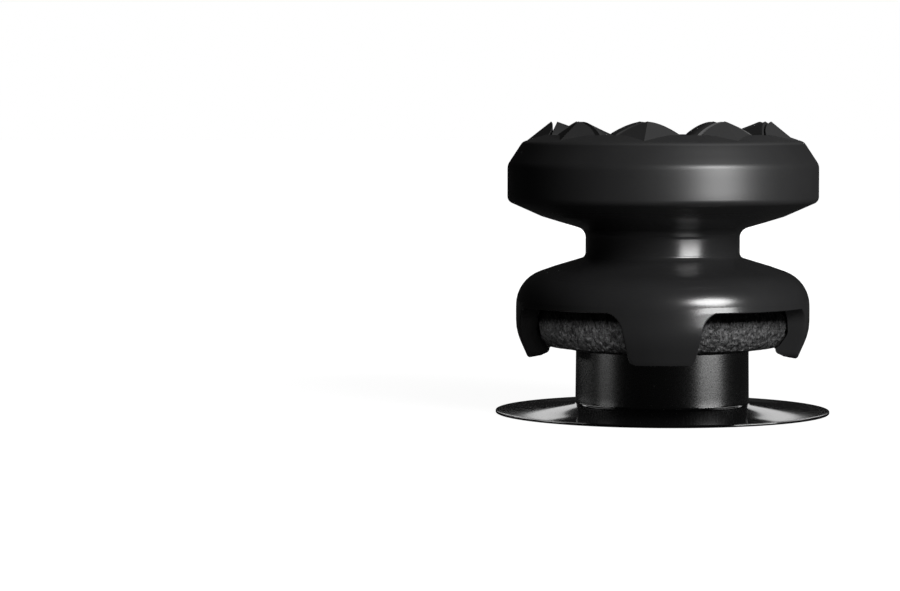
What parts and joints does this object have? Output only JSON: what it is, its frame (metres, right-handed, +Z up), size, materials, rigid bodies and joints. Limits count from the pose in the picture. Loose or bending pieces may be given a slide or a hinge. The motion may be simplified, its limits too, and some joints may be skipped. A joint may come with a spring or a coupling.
{
  "type": "controller thumb grip",
  "caption": "Tall studded thumb grip with a narrow neck, snapped by prongs over the rubber cap of a controller's thumbstick, which stands on a flared skirt.",
  "frame": {"origin": "centre of the flat ring under the skirt's edge, on which the part stands", "axes": "+Z up along the common axis towards the thumb, one prong of the grip towards -Y and one towards +X"},
  "size_m": [0.0234, 0.0234, 0.0204],
  "materials": {
    "grip_plastic": "satin black moulding",
    "cap_rubber": "coarse matt grain",
    "stick_plastic": "smooth black, half gloss"
  },
  "bodies": {
    "root": {"thumb_grip": "grip_plastic", "thumb_cap": "cap_rubber", "thumbstick": "stick_plastic"}
  },
  "joints": []
}
